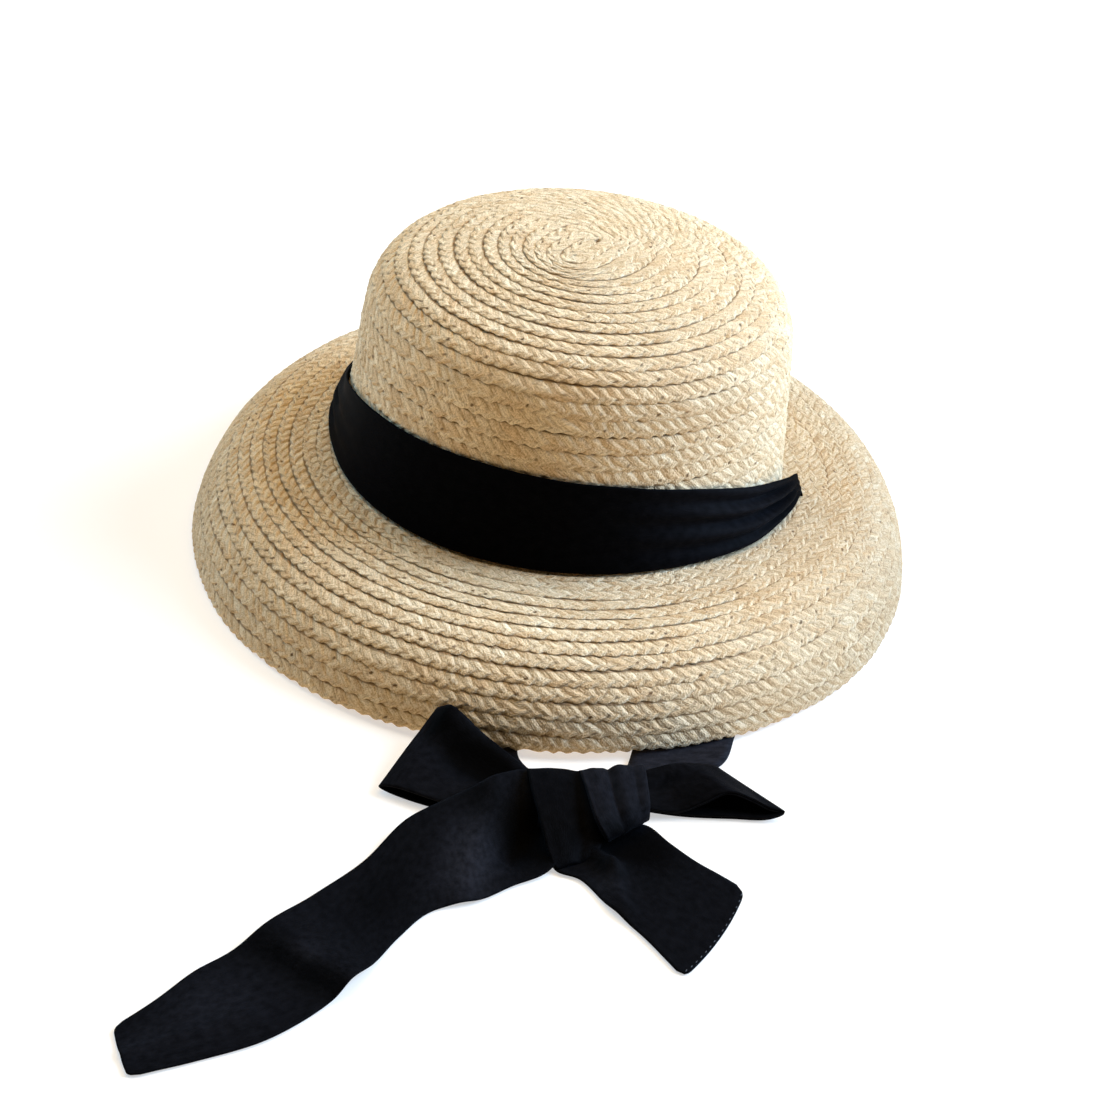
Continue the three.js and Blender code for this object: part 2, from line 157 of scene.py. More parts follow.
STRAND_RIGHT = [
    # azimuth, radius and height of one edge and of the other
    ((85.7, 99.3, 19.6), (85.8, 92.9, 19.6)),
    ((84.5, 100, 12), (84.8, 92, 13)),
    ((76, 106, 5), (78, 90, 6.5)),
    ((62, 114, 2.6), (64, 90, 3.4)),
    ((48, 122, 1.6), (46, 98, 2)),
    ((35, 141, 1.4), (25, 122, 1.4)),
    ((29, 161, 1.4), (15.4, 158, 1.4)),
    ((24.4, 176.5, 1.4), (12.8, 176, 1.4)),
    ((13, 189, 2.4), (10, 191, 2.4)),
]
STRAND_LEFT = [
    ((-121.7, 99.3, 19.6), (-121.8, 92.9, 19.6)),
    ((-120.5, 100, 12), (-120.8, 92, 13)),
    ((-112, 106, 5), (-114, 90, 6.5)),
    ((-96, 114, 2.6), (-98, 90, 3.4)),
    ((-72, 122, 1.8), (-72, 97, 2.4)),
    ((-46, 132, 1.4), (-44, 106, 1.4)),
    ((-24, 148, 1.4), (-16, 128, 1.4)),
    ((-9.5, 167, 1.4), (-1.5, 153, 1.4)),
    ((-4, 190, 1.6), (-0.2, 175, 1.6)),
    ((2.5, 200, 2.2), (4.5, 192, 2.2)),
]
LOOP_LEFT = [
    # x, y and height of the near edge and of the far edge
    ((10, -208, 3.4), (12, -190, 4.4)),
    ((-22, -210.5, 1.2), (-13, -174, 5.4)),
    ((-42, -205.5, 1.2), (-27.5, -169, 10)),
    ((-48, -204, 2.8), (-32.5, -167.5, 13.6)),
    ((-42.5, -206, 4.6), (-28, -169, 17)),
    ((-20, -211.5, 4.6), (-14, -177.5, 12)),
    ((10, -207, 5), (8, -192, 7)),
]
LOOP_LEFT_FOLDS = [
    # along and across at the start, along and across at the end, height, spread
    (0.6, 0.72, 0.98, 0.45, -2.6, 7.0),
    (0.68, 0.97, 0.95, 0.85, 0.9, 4.0),
    (0.1, 0.5, 0.4, 0.5, -0.3, 9.0),
]
LOOP_RIGHT = [
    ((40, -198, 4), (40, -187, 4)),
    ((60, -195.1, 1.4), (56, -177, 3)),
    ((78, -192.3, 1.2), (64, -173.5, 3.4)),
    ((91, -190.3, 1.6), (69, -172, 4.4)),
    ((96, -188.4, 3.6), (71.5, -171, 6)),
    ((90.5, -189.3, 5.2), (69.5, -172, 8)),
    ((84, -189.6, 8), (65.5, -174, 9.5)),
    ((75.5, -190.4, 10.6), (60, -176.5, 11)),
    ((66, -193.6, 6.4), (54, -179.5, 11.5)),
    ((58, -196.2, 3.4), (49, -182, 11)),
    ((40, -200, 6), (40, -187, 10)),
]
LOOP_RIGHT_FOLDS = [
    (0.75, 0.6, 1.0, 0.55, -0.8, 3.0),
    (0.75, 0.85, 1.0, 0.85, 0.6, 3.0),
]
TAIL_LEFT = [
    ((21, -224, 5.5), (12, -191, 8)),
    ((15, -238.5, 2.6), (1, -191, 9)),
    ((4, -247.5, 1.3), (-11, -202, 9.6)),
    ((-8, -259, 1.2), (-24, -213.5, 8)),
    ((-22, -266.8, 1.1), (-36, -224, 5)),
    ((-31.5, -283, 1.1), (-47.5, -245, 1.8)),
    ((-38, -301, 3.4), (-62, -269, 3)),
    ((-43.5, -313.5, 7), (-75, -292, 6.5)),
    ((-49, -320, 1.7), (-83, -300.5, 1.7)),
    ((-66, -341, 1.1), (-94, -314, 1.1)),
    ((-87, -355.5, 1.1), (-104, -331, 1.1)),
    ((-105, -366.5, 1.1), (-114, -345, 1.1)),
]
TAIL_LEFT_FOLDS = [
    (0.04, 0.5, 0.17, 0.3, -3.6, 7.0),
    (0.17, 0.95, 0.3, 0.1, 1.6, 7.0),
    (0.5, 0.3, 0.56, 0.8, -0.5, 9.0),
    (0.82, 0.35, 1.0, 0.45, 0.8, 3.5),
]
TAIL_RIGHT = [
    ((13, -226, 1.4), (40, -204, 1.4)),
    ((17.5, -236.5, 1.2), (48, -204, 1.2)),
    ((26, -239.5, 1.1), (56, -212, 1.1)),
    ((36.5, -252.5, 1.1), (65.5, -220.5, 1.1)),
    ((49, -266, 1.1), (74, -226.5, 1.1)),
    ((63, -284, 1.1), (83, -233.5, 1.1)),
]
TAIL_RIGHT_FOLDS = [
    (0.1, 0.4, 0.42, 0.31, 3.4, 3.6),
    (0.42, 0.31, 0.64, 0.08, 1.8, 4.0),
    (0.1, 0.66, 0.5, 0.55, -0.3, 8.0),
]
CLOTH_PAINTED_LIGHT_AND_SHADE = {
    # painted light and shade: how pale each piece is painted, and its paler and darker patches: along and
    # across in shares, change, spread
    "band_cloth": (0.22, [(0.67, 0.5, 0.4, 24), (0.74, 0.5, 0.4, 20)]),
    "strand_left_cloth": (0.6, []),
    "strand_right_cloth": (2.1, []),
    "loop_left_cloth": (
        0.75,
        [
            (0.8, 0.66, -0.75, 10),
            (0.92, 0.55, -0.6, 9),
            (0.66, 0.85, -0.6, 8),
            (0.9, 0.95, -0.4, 8),
        ],
    ),
    "loop_right_cloth": (0.45, []),
    "tail_left_cloth": (
        0.5,
        [
            (0.28, 0.25, 1.45, 11),
            (0.25, 0.55, 1.0, 10),
            (0.21, 0.88, -0.3, 8),
            (0.13, 0.45, -0.6, 12),
            (0.06, 0.2, -0.4, 12),
            (0.46, 0.5, -0.25, 14),
            (0.64, 0.5, 0.7, 6),
            (0.7, 0.3, -0.15, 6),
            (0.69, 0.7, -0.15, 6),
            (0.84, 0.6, 0.6, 16),
            (0.97, 0.5, 0.45, 10),
        ],
    ),
    "tail_right_cloth": (0.48, [(0.36, 0.74, -0.5, 14), (0.15, 0.5, -0.5, 10), (0.5, 0.13, 0.6, 6)]),
    "knot_wrap_cloth": (0.28, []),
    "knot_band_cloth": (1.1, [(0.85, 0.25, -0.7, 8), (0.85, 0.05, -0.7, 8)]),
}
# Painted shade: the knot's core is painted dark.
CORE_PAINTED_SHADE = 0.3
HEM_STITCHES = 15
HEM_INSET = 1.0
STITCH_LENGTH = 1.2
STITCH_RADIUS = 0.16
KNOT_WRAP = [
    ((5, -186.5, 1.4), (27, -184, 1.4)),
    ((3.6, -188, 6.5), (27.5, -185.5, 7)),
    ((3.2, -191, 9.3), (28, -188.5, 10.3)),
    ((5.4, -205, 11.3), (31, -202, 11.8)),
    ((9.6, -220.5, 9.8), (33, -213, 9.4)),
    ((13.4, -230.5, 5), (32, -221, 5.4)),
    ((17, -235.6, 1.9), (30, -227, 2.2)),
    ((21, -231, 1), (31, -222, 1)),
]
KNOT_WRAP_FOLDS = [
    (0.2, 0.72, 0.95, 0.6, -0.8, 2.6),
    (0.3, 0.3, 0.9, 0.35, 0.5, 4.0),
]
KNOT_BAND = [
    ((23, -186, 2), (44, -181.5, 2)),
    ((21.8, -187.5, 7), (43.6, -181, 7)),
    ((21.6, -190.5, 11.3), (43.8, -182.5, 11.3)),
    ((24.4, -205, 14.4), (45.4, -196.5, 13.4)),
    ((28.9, -219.5, 12.4), (47, -205, 11)),
    ((32.9, -222.4, 7.4), (47.6, -206, 6.2)),
    ((33.5, -218.5, 3), (46.5, -203, 3)),
]
KNOT_BAND_FOLDS = [
    (0.1, 0.18, 0.85, 0.2, 0.5, 2.0),
    (0.1, 0.47, 0.85, 0.42, -1.2, 1.5),
    (0.1, 0.62, 0.85, 0.6, 0.6, 1.8),
    (0.1, 0.86, 0.85, 0.82, -0.7, 1.4),
]
KNOT_FLOOR = 0.4
KNOT_POWER = 0.6
KNOT_SECTIONS = [
    # x, back, front, height
    (9, -194, -214, 5),
    (14, -191, -220, 7),
    (22, -190, -222, 8),
    (30, -189, -216, 9),
    (38, -187, -207, 9),
    (43, -188, -203, 6),
]

# Camera
CAMERA_TURN = 18.0
CAMERA_ELEVATION = 31.0
CAMERA_ROLL = -7.7
CAMERA_DISTANCE = 1169.8
CAMERA_AIM = (0.57, -11.86)  # right and up of the origin, as the camera sees it
CAMERA_FOCUS = 2814.2 / 1100  # focal length over the picture's width
SENSOR = 36.0

# Light, in metres and watts
LIGHTS = [
    # name, place, size, power, colour
    ("key_light", (1.8, 1.1, 1.3), 2.0, 117, (0.73, 1.0, 1.32)),
    ("top_light", (0.0, 0.45, 2.3), 2.4, 34, (1.5, 1.0, 0.4)),
    ("left_light", (-2.1, 0.3, 1.3), 2.0, 33, (0.55, 1.0, 1.4)),
]
TABLE_LIGHT = 1.5  # strength of the light from below the horizon
SKY_LIGHT = 0.06  # and from above it
FLOOR_GLOW = 0.52
FLOOR_SHADE = (0.10, 0.13)  # how far from the hat's axis the glow begins, and is full; inside it the floor has no glow, a painted shade below the hat


# Small tools


def smooth(low, high, value):
    """From 0 below low to 1 above high."""
    share = np.clip((np.asarray(value, float) - low) / (high - low), 0, 1)
    return share * share * (3 - 2 * share)


def noise(places, wavelength, seed):
    """Smooth noise of about -1 to 1 along a line."""
    rng = np.random.default_rng(seed)
    places = np.asarray(places, float) / wavelength
    first = math.floor(places.min()) - 1
    knots = rng.uniform(-1, 1, int(places.max() - first) + 4)
    cell = np.floor(places).astype(int) - first
    share = places - np.floor(places)
    share = share * share * (3 - 2 * share)
    return knots[cell] * (1 - share) + knots[cell + 1] * share


def polar(azimuth, radius, height):
    """A point at an azimuth from the front, a radius and a height."""
    turn = np.radians(azimuth)
    return np.stack(np.broadcast_arrays(radius * np.sin(turn), -radius * np.cos(turn), height), axis=-1)


def turned(points, degrees):
    """Points turned about the hat's axis."""
    turn = math.radians(degrees)
    x, y, z = np.moveaxis(np.asarray(points, float), -1, 0)
    return np.stack(
        (x * math.cos(turn) - y * math.sin(turn), x * math.sin(turn) + y * math.cos(turn), z), axis=-1
    )


def closed_loft(name, rings):
    """A closed skin over rings with an even number of corners, or over many such sets of rings."""
    rings = rings.reshape(-1, *rings.shape[-3:])
    per_ring = rings.shape[2]
    index = np.arange(rings[..., 0].size).reshape(rings.shape[:3])
    after = np.roll(index, -1, axis=2)
    sides = (index[:, :-1], after[:, :-1], after[:, 1:], index[:, 1:])
    quads = np.stack(sides, axis=-1).reshape(-1, 4)
    low = np.arange(per_ring // 2 - 1)
    far = per_ring - 1 - low
    caps = []
    for ring, flip in ((index[:, 0], True), (index[:, -1], False)):
        cap = np.stack((ring[:, low], ring[:, low + 1], ring[:, far - 1], ring[:, far]), axis=-1)
        cap = cap.reshape(-1, 4)
        caps.append(cap[:, ::-1] if flip else cap)
    faces = np.concatenate((quads, *caps))
    points = rings.reshape(-1, 3) * MM
    corner = points[faces]
    volume = np.einsum("ij,ij->", corner[:, 0], np.cross(corner[:, 1], corner[:, 2]))
    volume += np.einsum("ij,ij->", corner[:, 0], np.cross(corner[:, 2], corner[:, 3]))
    if volume < 0:
        faces = faces[:, ::-1]
    mesh = bpy.data.meshes.new(name)
    mesh.vertices.add(len(points))
    mesh.vertices.foreach_set("co", points.ravel())
    mesh.loops.add(faces.size)
    mesh.loops.foreach_set("vertex_index", faces.ravel())
    mesh.polygons.add(len(faces))
    mesh.polygons.foreach_set("loop_start", np.arange(len(faces)) * 4)
    mesh.polygons.foreach_set("use_smooth", np.ones(len(faces), bool))
    mesh.update(calc_edges=True)
    piece = bpy.data.objects.new(name, mesh)
    bpy.context.scene.collection.objects.link(piece)
    return piece


def add_numbers(piece, name, values):
    """A number at each corner of a piece, for its material."""
    attribute = piece.data.attributes.new(name, "FLOAT", "POINT")
    attribute.data.foreach_set("value", np.ascontiguousarray(values, dtype=np.float32).ravel())


def add_vectors(piece, name, values):
    """A vector at each corner of a piece, for its material."""
    attribute = piece.data.attributes.new(name, "FLOAT_VECTOR", "POINT")
    attribute.data.foreach_set("vector", np.ascontiguousarray(values, dtype=np.float32).ravel())


# Materials


def new_material(name):
    material = bpy.data.materials.new(name)
    material.use_nodes = True
    tree = material.node_tree
    return material, tree, tree.nodes["Principled BSDF"]


def add_node(tree, kind, **settings):
    node = tree.nodes.new(kind)
    for key, value in settings.items():
        setattr(node, key, value)
    return node


def attribute(tree, name, output):
    node = add_node(tree, "ShaderNodeAttribute", attribute_name=name)
    return node.outputs[output]


def ramp(tree, factor, stops):
    node = add_node(tree, "ShaderNodeValToRGB")
    elements = node.color_ramp.elements
    while len(elements) < len(stops):
        elements.new(0.5)
    for element, (place, colour) in zip(elements, stops):
        element.position = place
        element.color = (*colour, 1)
    tree.links.new(factor, node.inputs["Fac"])
    return node.outputs["Color"]


def mixed(tree, factor, one, two, blend="MIX"):
    node = add_node(tree, "ShaderNodeMix", data_type="RGBA", blend_type=blend)
    for socket, value in (("Factor", factor), ("A", one), ("B", two)):
        target = [s for s in node.inputs if s.name == socket and s.enabled][0]
        if isinstance(value, bpy.types.NodeSocket):
            tree.links.new(value, target)
        elif isinstance(value, tuple):
            target.default_value = (*value, 1)
        else:
            target.default_value = value
    return [s for s in node.outputs if s.enabled][0]


def maths(tree, operation, *values):
    """A number worked out from other sockets and plain numbers."""
    node = add_node(tree, "ShaderNodeMath", operation=operation)
    for socket, value in zip(node.inputs, values):
        if isinstance(value, bpy.types.NodeSocket):
            tree.links.new(value, socket)
        else:
            socket.default_value = value
    return node.outputs[0]


def joined(tree, *values):
    """A vector from three numbers."""
    node = add_node(tree, "ShaderNodeCombineXYZ")
    for socket, value in zip(node.inputs, values):
        tree.links.new(value, socket)
    return node.outputs[0]


def stretched_noise(tree, vector, scale, detail):
    spread = add_node(tree, "ShaderNodeVectorMath", operation="MULTIPLY")
    tree.links.new(vector, spread.inputs[0])
    spread.inputs[1].default_value = scale
    texture = add_node(tree, "ShaderNodeTexNoise")
    texture.inputs["Scale"].default_value = 1
    texture.inputs["Detail"].default_value = detail
    tree.links.new(spread.outputs[0], texture.inputs["Vector"])
    return texture.outputs["Fac"]


def bumped(tree, shader, height, strength, distance):
    bump = add_node(tree, "ShaderNodeBump")
    bump.inputs["Strength"].default_value = strength
    bump.inputs["Distance"].default_value = distance
    tree.links.new(height, bump.inputs["Height"])
    tree.links.new(bump.outputs["Normal"], shader.inputs["Normal"])


def ranged(tree, value, low, high, first, last):
    """A number that goes smoothly from first to last as a value goes from low to high."""
    node = add_node(tree, "ShaderNodeMapRange", interpolation_type="SMOOTHSTEP")
    for socket, number in zip(("From Min", "From Max", "To Min", "To Max"), (low, high, first, last)):
        node.inputs[socket].default_value = number
    tree.links.new(value, node.inputs["Value"])
    return node.outputs["Result"]


def strand_height(tree, phase, fade):
    """A strand's rounded height across its width, fading across the braid."""
    share = maths(tree, "POWER", maths(tree, "FRACT", phase), PLAIT_SKEW)
    wave = maths(tree, "SINE", maths(tree, "MULTIPLY", share, math.pi))
    rounded = maths(tree, "POWER", wave, PLAIT_ROUND)
    return maths(tree, "MULTIPLY", rounded, fade)


def make_straw():
    """Natural raffia: plaited strands with fine fibres along them, and gaps where they cross painted dark
    as shade; painted shadow lines under the rows' edges and painted shade on the brim darken it too.
    """
    material, tree, shader = new_material("straw")
    parts = add_node(tree, "ShaderNodeSeparateXYZ")
    tree.links.new(attribute(tree, "plait", "Vector"), parts.inputs[0])
    upper, lower, off = parts.outputs
    upper_height = strand_height(tree, upper, ranged(tree, off, -0.5, 1.1, 1, 0))
    lower_height = strand_height(tree, lower, ranged(tree, off, -1.1, 0.5, 0, 1))
    relief = maths(tree, "MAXIMUM", upper_height, lower_height)
    on_top = maths(tree, "GREATER_THAN", upper_height, lower_height)
    one_way = joined(tree, upper, lower, maths(tree, "FLOOR", upper))
    other_way = joined(tree, lower, upper, maths(tree, "FLOOR", lower))
    fibre = add_node(tree, "ShaderNodeMix", data_type="VECTOR")
    tree.links.new(on_top, fibre.inputs["Factor"])
    tree.links.new(other_way, fibre.inputs[4])
    tree.links.new(one_way, fibre.inputs[5])
    streaks = stretched_noise(tree, fibre.outputs[1], (6.5, 1.0, 0.37), 4)
    specks = stretched_noise(tree, fibre.outputs[1], (6.0, 7.0, 0.7), 3)
    tone = attribute(tree, "tone", "Fac")
    base = ramp(
        tree,
        tone,
        [(0.0, (0.76, 0.58, 0.37)), (0.5, (0.85, 0.70, 0.49)), (1.0, (0.92, 0.80, 0.60))],
    )
    fine = ramp(tree, streaks, [(0.30, (0.60, 0.53, 0.43)), (0.56, (1.0, 1.0, 1.0))])
    streaked = mixed(tree, 0.8, base, fine, "MULTIPLY")
    mottled = ramp(tree, specks, [(0.32, (0.56, 0.48, 0.38)), (0.56, (1.0, 1.0, 1.0))])
    uneven = mixed(tree, 0.75, streaked, mottled, "MULTIPLY")
    # Painted shade: the straw's colour is multiplied by the painted shade number.
    with_painted_shade = mixed(tree, 1.0, uneven, attribute(tree, "painted_shade", "Fac"), "MULTIPLY")
    across = attribute(tree, "from_pit", "Fac")
    from_crossing = maths(tree, "SUBTRACT", lower, maths(tree, "ROUND", lower))
    along = maths(tree, "MULTIPLY_ADD", from_crossing, PLAIT_PERIOD, maths(tree, "MULTIPLY", across, -0.5))
    across_squared = maths(tree, "MULTIPLY", across, across)
    away = maths(tree, "SQRT", maths(tree, "MULTIPLY_ADD", along, along, across_squared))
    ragged = maths(tree, "MULTIPLY_ADD", specks, -2.2, away)
    # Painted shade: the small gaps where strands cross are coloured dark.
    pit = maths(tree, "MULTIPLY", ranged(tree, ragged, -0.8, -0.1, 1, 0), attribute(tree, "gap", "Fac"))
    dark = mixed(tree, pit, with_painted_shade, (0.13, 0.075, 0.035))
    # Painted shadow: a thin dark line under each row's outer edge.
    line = maths(tree, "SUBTRACT", attribute(tree, "seam_shadow", "Fac"), specks)
    colour = mixed(tree, ranged(tree, line, -0.45, 0.05, 0.7, 0), dark, (0.2, 0.12, 0.058))
    tree.links.new(colour, shader.inputs["Base Color"])
    shader.inputs["Roughness"].default_value = 0.68
    shader.inputs["Specular IOR Level"].default_value = 0.15
    fibres = maths(tree, "MULTIPLY_ADD", specks, 2.0, maths(tree, "MULTIPLY", streaks, 1.4))
    bumped(tree, shader, maths(tree, "MULTIPLY_ADD", relief, 1.5, fibres), 0.75, 0.0005)
    return material


def make_cloth():
    """Black cotton: a fine even weave, a little uneven in tone, with painted light and shade in paler and
    darker patches, and a soft dark blue sheen.
    """
    material, tree, shader = new_material("ribbon_cloth")
    cloth = attribute(tree, "cloth", "Vector")
    mottle = stretched_noise(tree, cloth, (0.35, 0.35, 1.0), 4)
    threads = stretched_noise(tree, cloth, (2.4, 0.5, 1.0), 2)
    weave = ramp(tree, mottle, [(0.3, (0.0030, 0.0033, 0.0047)), (0.7, (0.0078, 0.0084, 0.0118))])
    # Painted light and shade: the tone number makes the weave paler or darker.
    colour = mixed(tree, 1.0, weave, attribute(tree, "tone", "Fac"), "MULTIPLY")
    tree.links.new(colour, shader.inputs["Base Color"])
    shader.inputs["Roughness"].default_value = 0.62
    shader.inputs["Specular IOR Level"].default_value = 0.01
    shader.inputs["Sheen Weight"].default_value = 0.01
    shader.inputs["Sheen Roughness"].default_value = 0.4
    shader.inputs["Sheen Tint"].default_value = (0.78, 0.82, 1.0, 1)
    bumped(tree, shader, threads, 0.6, 0.0003)
    return material


def make_thread():
    """Dark thread, a little paler than the cloth."""
    material, tree, shader = new_material("hem_thread")
    texture = add_node(tree, "ShaderNodeTexNoise")
    texture.inputs["Scale"].default_value = 900
    colour = ramp(tree, texture.outputs["Fac"], [(0.3, (0.02, 0.022, 0.03)), (0.7, (0.08, 0.09, 0.11))])
    tree.links.new(colour, shader.inputs["Base Color"])
    shader.inputs["Roughness"].default_value = 0.7
    return material


def make_floor_material():
    """A pale table that glows evenly all round the hat; below the hat the glow fades out as painted shade,
    so only the lamps' light and real shade show there.
    """
    material, tree, shader = new_material("floor")
    texture = add_node(tree, "ShaderNodeTexNoise")
    texture.inputs["Scale"].default_value = 3
    colour = ramp(tree, texture.outputs["Fac"], [(0.3, (0.50, 0.50, 0.50)), (0.7, (0.52, 0.52, 0.52))])
    tree.links.new(colour, shader.inputs["Base Color"])
    shader.inputs["Roughness"].default_value = 0.9
    shader.inputs["Emission Color"].default_value = (1.0, 1.0, 1.0, 1)
    # Painted shade: no glow near the hat's axis.
    from_axis = add_node(tree, "ShaderNodeVectorMath", operation="LENGTH")
    tree.links.new(add_node(tree, "ShaderNodeTexCoord").outputs["Object"], from_axis.inputs[0])
    glow = ranged(tree, from_axis.outputs["Value"], *FLOOR_SHADE, 0.0, FLOOR_GLOW)
    tree.links.new(glow, shader.inputs["Emission Strength"])
    return material


# Straw surfaces


class Meridian:
    """A wall's line from the axis outwards, as stretches that each turn evenly from slope to slope."""

    STEP = 0.05

    def __init__(self, radius, height, stretches):
        lengths = np.cumsum([0.0] + [length for length, _, _ in stretches])
        self.length = lengths[-1]
        self.place = np.linspace(0, self.length, int(self.length / self.STEP) + 1)
        slope = np.zeros_like(self.place)
        for start, (length, first, last) in zip(lengths, stretches):
            inside = self.place >= start - 1e-6
            slope[inside] = first + (last - first) * np.clip((self.place[inside] - start) / length, 0, 1)
        self.slope = np.radians(slope)
        step = np.diff(self.place)
        middle = (self.slope[1:] + self.slope[:-1]) / 2
        self.radius = radius + np.concatenate(([0], np.cumsum(np.cos(middle) * step)))
        self.height = height - np.concatenate(([0], np.cumsum(np.sin(middle) * step)))

    def at(self, place, out):
        """Radius and height at places along the line or past its ends, moved out along its normal."""
        inside = np.clip(place, 0, self.length)
        beyond = place - inside
        slope = np.interp(inside, self.place, self.slope)
        radius = np.interp(inside, self.place, self.radius) + beyond * np.cos(slope)
        height = np.interp(inside, self.place, self.height) - beyond * np.sin(slope)
        return radius + out * np.sin(slope), height + out * np.cos(slope)


def crown_meridian(base_height):
    taper = math.radians(SIDE_TAPER)
    tip_slope = math.radians(TIP_SLOPE)
    tip_edge = HEAD_RADIUS - SIDE_LENGTH * math.sin(taper)
    tip_edge -= SHOULDER_RADIUS * (math.cos(taper) - math.sin(tip_slope))
    stretches = [
        (tip_edge / math.sin(tip_slope) * tip_slope, 0, TIP_SLOPE),
        (SHOULDER_RADIUS * math.radians(90 - SIDE_TAPER - TIP_SLOPE), TIP_SLOPE, 90 - SIDE_TAPER),
        (SIDE_LENGTH, 90 - SIDE_TAPER, 90 - SIDE_TAPER),
    ]
    line = Meridian(0, 0, stretches)
    line.height += base_height - line.height[-1]
    return line


def brim_meridian(base_height):
    curve = BRIM_CURVE_RADIUS * math.radians(RIM_SLOPE - BRIM_LEVEL_SLOPE)
    stretches = [
        (BRIM_LEVEL_WIDTH, BRIM_LEVEL_SLOPE, BRIM_LEVEL_SLOPE),
        (curve, BRIM_LEVEL_SLOPE, RIM_SLOPE),
    ]
    return Meridian(HEAD_RADIUS - WALL, base_height, stretches)


def height_of_base():
    """The crown's base over the table, which the brim's curve sets."""
    level = math.radians(BRIM_LEVEL_SLOPE)
    drop = math.cos(level) - math.cos(math.radians(RIM_SLOPE))
    return BRIM_LEVEL_WIDTH * math.sin(level) + BRIM_CURVE_RADIUS * drop


def make_oval(points):
    """The head's oval: longer from front to back."""
    return points * np.array((1 - HEAD_OVAL / HEAD_RADIUS, 1 + HEAD_OVAL / HEAD_RADIUS, 1))


def place_on_crown(line, azimuth, place, out):
    """Points on the crown. In the middle of the tip the rows are drawn out along a straight stretch."""
    along = np.cos(azimuth - math.radians(START_AZIMUTH))
    along = along / np.sqrt(along**2 + 0.12)
    fade = np.exp(-((place / START_SPREAD) ** 2))
    start = polar(START_AZIMUTH, START_HALF, 0.0)
    east = place * np.sin(azimuth) + fade * (along * start[0] + START_SHIFT[0])
    south = -place * np.cos(azimuth) + fade * (along * start[1] + START_SHIFT[1])
    radius, height = line.at(np.hypot(east, south), out)
    return make_oval(polar(np.degrees(np.arctan2(east, -south)), radius, height))


def place_on_brim(line, azimuth, place, out):
    """Points on the brim, with its own outline and its lift over the ribbon growing towards the rim."""
    radius, height = line.at(place, out)
    share = np.clip((radius - HEAD_RADIUS) / (BRIM_LEVEL_WIDTH + BRIM_CURVE_RADIUS), 0, 1) ** RIM_POWER
    stretch = BRIM_STRETCH * np.cos(2 * (azimuth - math.radians(BRIM_STRETCH_AZIMUTH)))
    lobes = BRIM_LOBES * np.cos(3 * (azimuth - math.radians(BRIM_LOBES_AZIMUTH)))
    shift = BRIM_SHIFT * np.cos(azimuth - math.radians(BRIM_SHIFT_AZIMUTH))
    around = np.degrees(azimuth) - RIM_LIFT_AZIMUTH
    from_lift = np.clip(np.abs((around + 180) % 360 - 180) / RIM_LIFT_SPREAD, 0, 1)
    lift = RIM_LIFT * np.cos(from_lift * math.pi / 2) ** 2
    points = make_oval(polar(np.degrees(azimuth), radius, height))
    grown = (radius + (stretch + lobes + shift) * share) / radius
    points[..., 0] *= grown
    points[..., 1] *= grown
    points[..., 2] = np.maximum(points[..., 2] + lift * share, 0.1)
    return points


# Braid


def at_place(place, table):
    """A value that changes evenly from one place in a table to the next."""
    places, values = zip(*table)
    return np.interp(place, places, values)


def crown_path(line):
    """The braid's way round the crown: azimuth, place of its middle, pitch, sink, tilt and painted shade
    (none here).
    """
    last = line.length - BRAID_HALF
    places = np.linspace(0, last, 4000)
    pitch = TIP_PITCH + (SIDE_PITCH - TIP_PITCH) * smooth(*PITCH_CHANGE, places)
    turns = np.concatenate(([0], np.cumsum(np.diff(places) / pitch[1:])))
    azimuth = np.arange(0, 2 * math.pi * (turns[-1] + 1), 0.004)
    turn = azimuth / (2 * math.pi)
    place = np.interp(turn, turns, places)
    sink = SINK * smooth(0, 1, turn - turns[-1])
    azimuth = azimuth + math.radians(START_AZIMUTH)
    flat = at_place(np.degrees(azimuth) % 360, CROWN_FLATS)
    tilt = at_place(place, CROWN_TILTS) * smooth(0.4, 2.5, turn) * flat
    pitch = np.interp(place, places, pitch)
    return azimuth, place, pitch, sink, tilt, np.ones_like(place)


def brim_path(line):
    """The braid's way round the brim: level rows, each stepping out to the next at the back."""
    pitch = line.length / BRIM_ROWS
    first = BRAID_HALF - 1.5
    rows = round((line.length - BRAID_HALF - first) / pitch)
    pitch = (line.length - BRAID_HALF - first) / rows
    end = 360 * (rows + 1)
    azimuth = np.arange(BRIM_START, BRIM_START + end + BRIM_STEP, 0.1)
    run = azimuth - BRIM_START
    row = np.floor(run / 360)
    within = run - 360 * row
    row = np.clip(row - 1 + smooth(0, BRIM_STEP, within), 0, rows)
    row[azimuth < BRIM_START + BRIM_STEP] = 0
    under_start = smooth(340, 360, run) * (1 - smooth(360, 425, run))
    under_end = smooth(end - 40, end + 10, run)
    place = first + pitch * row
    sink = SINK * np.maximum(under_start, under_end)
    radians = np.radians(azimuth)
    for side in (-1, 1):
        around = (azimuth - side * SLIT_AZIMUTH + 180) % 360 - 180
        near = np.exp(-((np.radians(around) * (HEAD_RADIUS + SLIT_PLACE) / SLIT_SPREAD) ** 2))
        outside = place > SLIT_PLACE
        away = np.exp(-np.maximum(place - SLIT_PLACE, 0) / SLIT_FADE)
        place = place + near * np.where(outside, SLIT_OUT * away, SLIT_IN)
    tilt = at_place(place, BRIM_TILTS) * at_place(azimuth % 360, BRIM_FLATS)
    # Painted shade: the straw's colour is darker towards the rim, and on the right towards the back.
    painted_shade = at_place(place, BRIM_PAINTED_SHADES) * at_place(azimuth % 360, BRIM_SIDE_PAINTED_SHADES)
    return radians, place, np.full_like(place, pitch), sink, tilt, painted_shade


def hump(phase):
    """A strand's height across its width, from 0 at its edges to 1, leaning towards the next strand."""
    share = phase - np.floor(phase)
    return np.sin(math.pi * share**PLAIT_SKEW) ** PLAIT_ROUND


